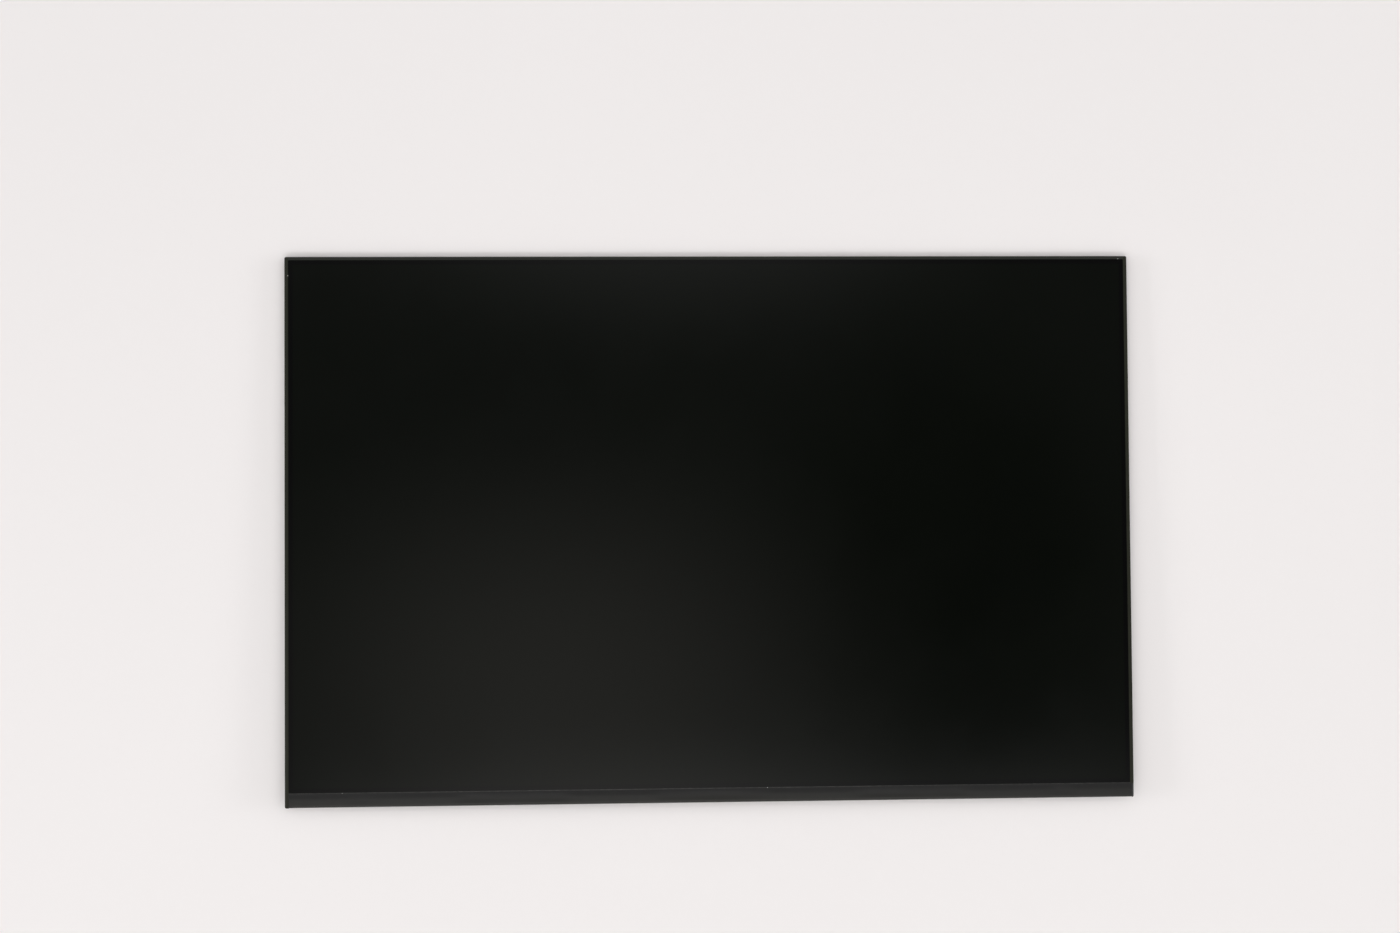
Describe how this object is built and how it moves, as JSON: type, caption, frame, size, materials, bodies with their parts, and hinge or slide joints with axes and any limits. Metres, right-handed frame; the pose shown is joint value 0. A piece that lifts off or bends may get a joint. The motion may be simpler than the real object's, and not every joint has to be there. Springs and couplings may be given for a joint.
{
  "type": "lcd panel",
  "caption": "Thin flat display module with a matt dark face, black taped edges, a metal back and a narrow control board along the rear bottom edge.",
  "frame": {"origin": "middle of the outline, on the surface that the module lies on, which the tallest parts of the control board touch", "axes": "+X to the right and +Y to the top of the picture, +Z out of the screen"},
  "size_m": [0.3076, 0.1984, 0.0043],
  "materials": {
    "matt_polarizer": "anti-glare, fine matt",
    "cell_glass": "polished, dark from the colour filter",
    "array_glass": "polished",
    "sealant": "cured resin",
    "liquid_crystal": "clear fluid layer",
    "rear_polarizer": "smooth film",
    "black_tape": "satin black film",
    "frame_plastic": "fine moulded black",
    "optical_film": "translucent film",
    "light_guide": "clear, polished",
    "white_film": "white reflector",
    "lamp_strip": "white film with lamps",
    "plate_metal": "rolled sheet, satin",
    "bond": "double-sided tape",
    "board": "solder mask",
    "chip": "moulded resin",
    "driver_silicon": "polished die",
    "flex": "amber film",
    "ferrite": "sintered ferrite",
    "capacitor": "ceramic with tinned ends",
    "socket_resin": "moulded resin",
    "socket_metal": "tinned sheet",
    "copper_foil": "foil tape"
  },
  "bodies": {
    "root": {"front_polarizer": "matt_polarizer", "colour_filter_glass": "cell_glass", "cell_seal": "sealant", "liquid_crystal": "liquid_crystal", "array_glass": "array_glass", "rear_polarizer": "rear_polarizer", "cell_tape": "black_tape", "mould_frame": "frame_plastic", "brightness_film": "optical_film", "upper_prism_film": "optical_film", "lower_prism_film": "optical_film", "diffuser_film": "optical_film", "light_guide": "light_guide", "reflector_sheet": "white_film", "lamp_strip": "lamp_strip", "back_plate": "plate_metal", "board_bond": "bond", "control_board": "board", "timing_controller": "chip", "power_controller": "chip", "level_shifter": "chip", "lamp_driver": "chip", "flash_memory": "chip", "boost_inductor": "ferrite", "supply_inductor": "ferrite", "rectifier_diode": "chip", "socket_housing": "socket_resin", "socket_shell": "socket_metal", "edge_tape_left": "black_tape", "edge_tape_right": "black_tape", "edge_tape_top": "black_tape", "driver_tape": "black_tape", "ground_tape_left": "copper_foil", "ground_tape_right": "copper_foil", "source_driver_1": "driver_silicon", "source_driver_2": "driver_silicon", "source_driver_3": "driver_silicon", "source_driver_4": "driver_silicon", "panel_flex_1": "flex", "panel_flex_2": "flex", "panel_flex_3": "flex", "panel_flex_4": "flex", "bulk_capacitor_1": "capacitor", "bulk_capacitor_2": "capacitor", "bulk_capacitor_3": "capacitor", "bulk_capacitor_4": "capacitor", "bulk_capacitor_5": "capacitor", "bulk_capacitor_6": "capacitor"}
  },
  "joints": []
}
